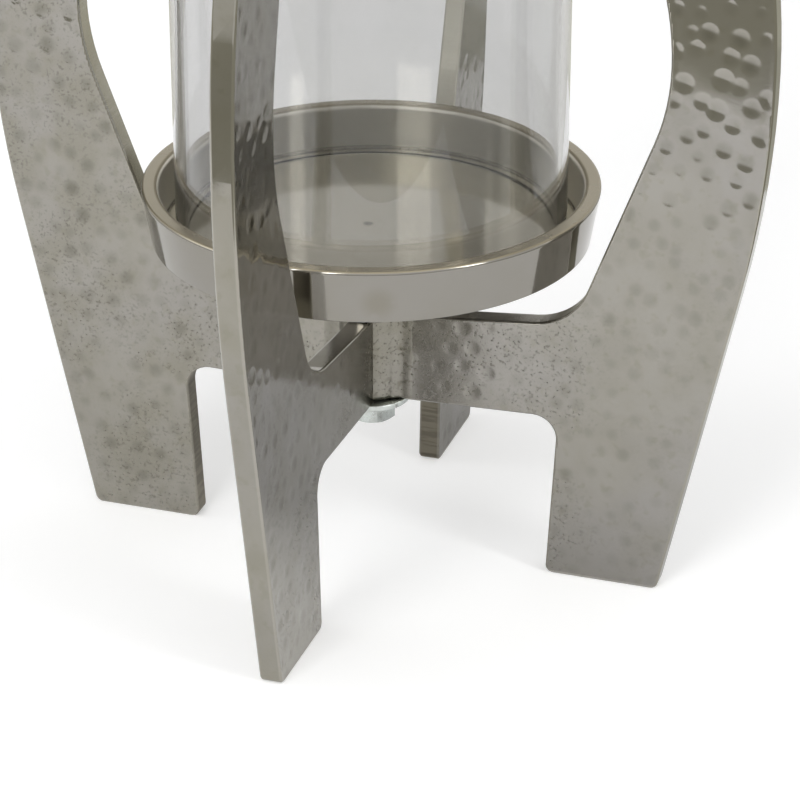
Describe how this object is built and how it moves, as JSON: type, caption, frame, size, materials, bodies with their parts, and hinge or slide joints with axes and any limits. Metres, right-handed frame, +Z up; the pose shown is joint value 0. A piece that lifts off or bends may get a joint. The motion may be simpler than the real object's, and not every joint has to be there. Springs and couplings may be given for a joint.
{
  "type": "candle lantern",
  "caption": "Free-standing candle lantern: hammered rib legs welded to a hub, a round tray clamped above them and a clear glass chimney that lifts out.",
  "frame": {"origin": "on the ground under the lantern's axis, midway between the feet", "axes": "+Z up the axis, +X along the right leg, -Y along the front leg"},
  "size_m": [0.2486, 0.2486, 0.3],
  "materials": {
    "nickel_casting": "cast and hammered, nickel plated, warm grey with tarnish",
    "polished_nickel": "turned and polished, nickel plated",
    "clear_glass": "clear, fire polished lips",
    "zinc_plated_steel": "bright zinc"
  },
  "bodies": {
    "frame": {"leg_right": "nickel_casting", "leg_front": "nickel_casting", "leg_left": "nickel_casting", "leg_back": "nickel_casting", "hub": "nickel_casting", "tray": "polished_nickel", "stud": "zinc_plated_steel", "washer": "zinc_plated_steel", "nut": "zinc_plated_steel"},
    "chimney": {"glass_chimney": "clear_glass"}
  },
  "joints": [
    {"name": "chimney_lift", "type": "slide", "parent": "frame", "child": "chimney", "axis": [0, 0, 1], "range_m": [0, 0.195]}
  ]
}
